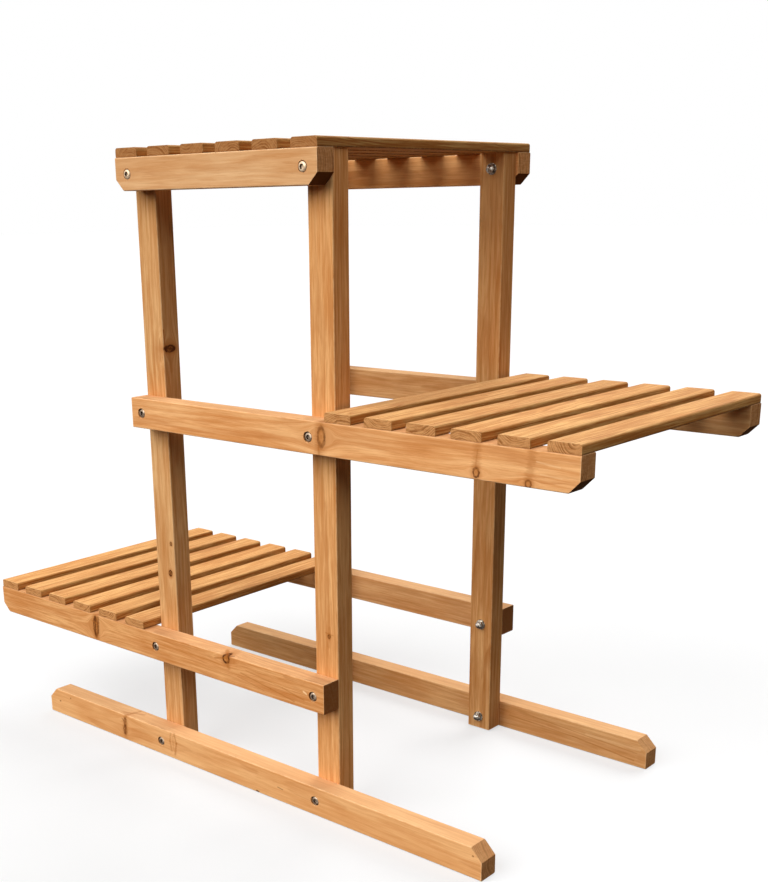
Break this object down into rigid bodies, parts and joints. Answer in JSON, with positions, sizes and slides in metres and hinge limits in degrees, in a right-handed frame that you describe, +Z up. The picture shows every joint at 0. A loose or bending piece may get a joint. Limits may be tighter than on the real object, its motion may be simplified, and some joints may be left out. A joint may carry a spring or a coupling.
{
  "type": "tiered plant stand",
  "caption": "Bolted timber plant stand with slatted shelves at stepped heights: a low shelf to one side, a middle shelf to the other and a top shelf over the posts.",
  "frame": {"origin": "on the ground, under the middle of the stand", "axes": "+X along the rails towards the middle shelf, +Y across the stand, +Z up"},
  "size_m": [0.98, 0.4064, 0.786],
  "materials": {
    "frame_timber": "stained and oiled softwood",
    "slat_timber": "stained and oiled softwood",
    "bolt_steel": "bright zinc plate",
    "brad_steel": "dull steel"
  },
  "bodies": {
    "root": {"near_foot": "frame_timber", "near_left_post": "frame_timber", "near_right_post": "frame_timber", "near_lower_rail": "frame_timber", "near_middle_rail": "frame_timber", "near_top_rail": "frame_timber", "far_foot": "frame_timber", "far_left_post": "frame_timber", "far_right_post": "frame_timber", "far_lower_rail": "frame_timber", "far_middle_rail": "frame_timber", "far_top_rail": "frame_timber", "lower_slat_1": "slat_timber", "lower_slat_2": "slat_timber", "lower_slat_3": "slat_timber", "lower_slat_4": "slat_timber", "lower_slat_5": "slat_timber", "lower_slat_6": "slat_timber", "lower_slat_brads": "brad_steel", "middle_slat_1": "slat_timber", "middle_slat_2": "slat_timber", "middle_slat_3": "slat_timber", "middle_slat_4": "slat_timber", "middle_slat_5": "slat_timber", "middle_slat_6": "slat_timber", "middle_slat_brads": "brad_steel", "top_slat_1": "slat_timber", "top_slat_2": "slat_timber", "top_slat_3": "slat_timber", "top_slat_4": "slat_timber", "top_slat_5": "slat_timber", "top_slat_6": "slat_timber", "top_slat_brads": "brad_steel", "foot_bolts": "bolt_steel", "foot_washers": "bolt_steel", "foot_cap_nuts": "bolt_steel", "lower_rail_bolts": "bolt_steel", "lower_rail_washers": "bolt_steel", "lower_rail_cap_nuts": "bolt_steel", "middle_rail_bolts": "bolt_steel", "middle_rail_washers": "bolt_steel", "middle_rail_cap_nuts": "bolt_steel", "top_rail_bolts": "bolt_steel", "top_rail_washers": "bolt_steel", "top_rail_cap_nuts": "bolt_steel"}
  },
  "joints": []
}
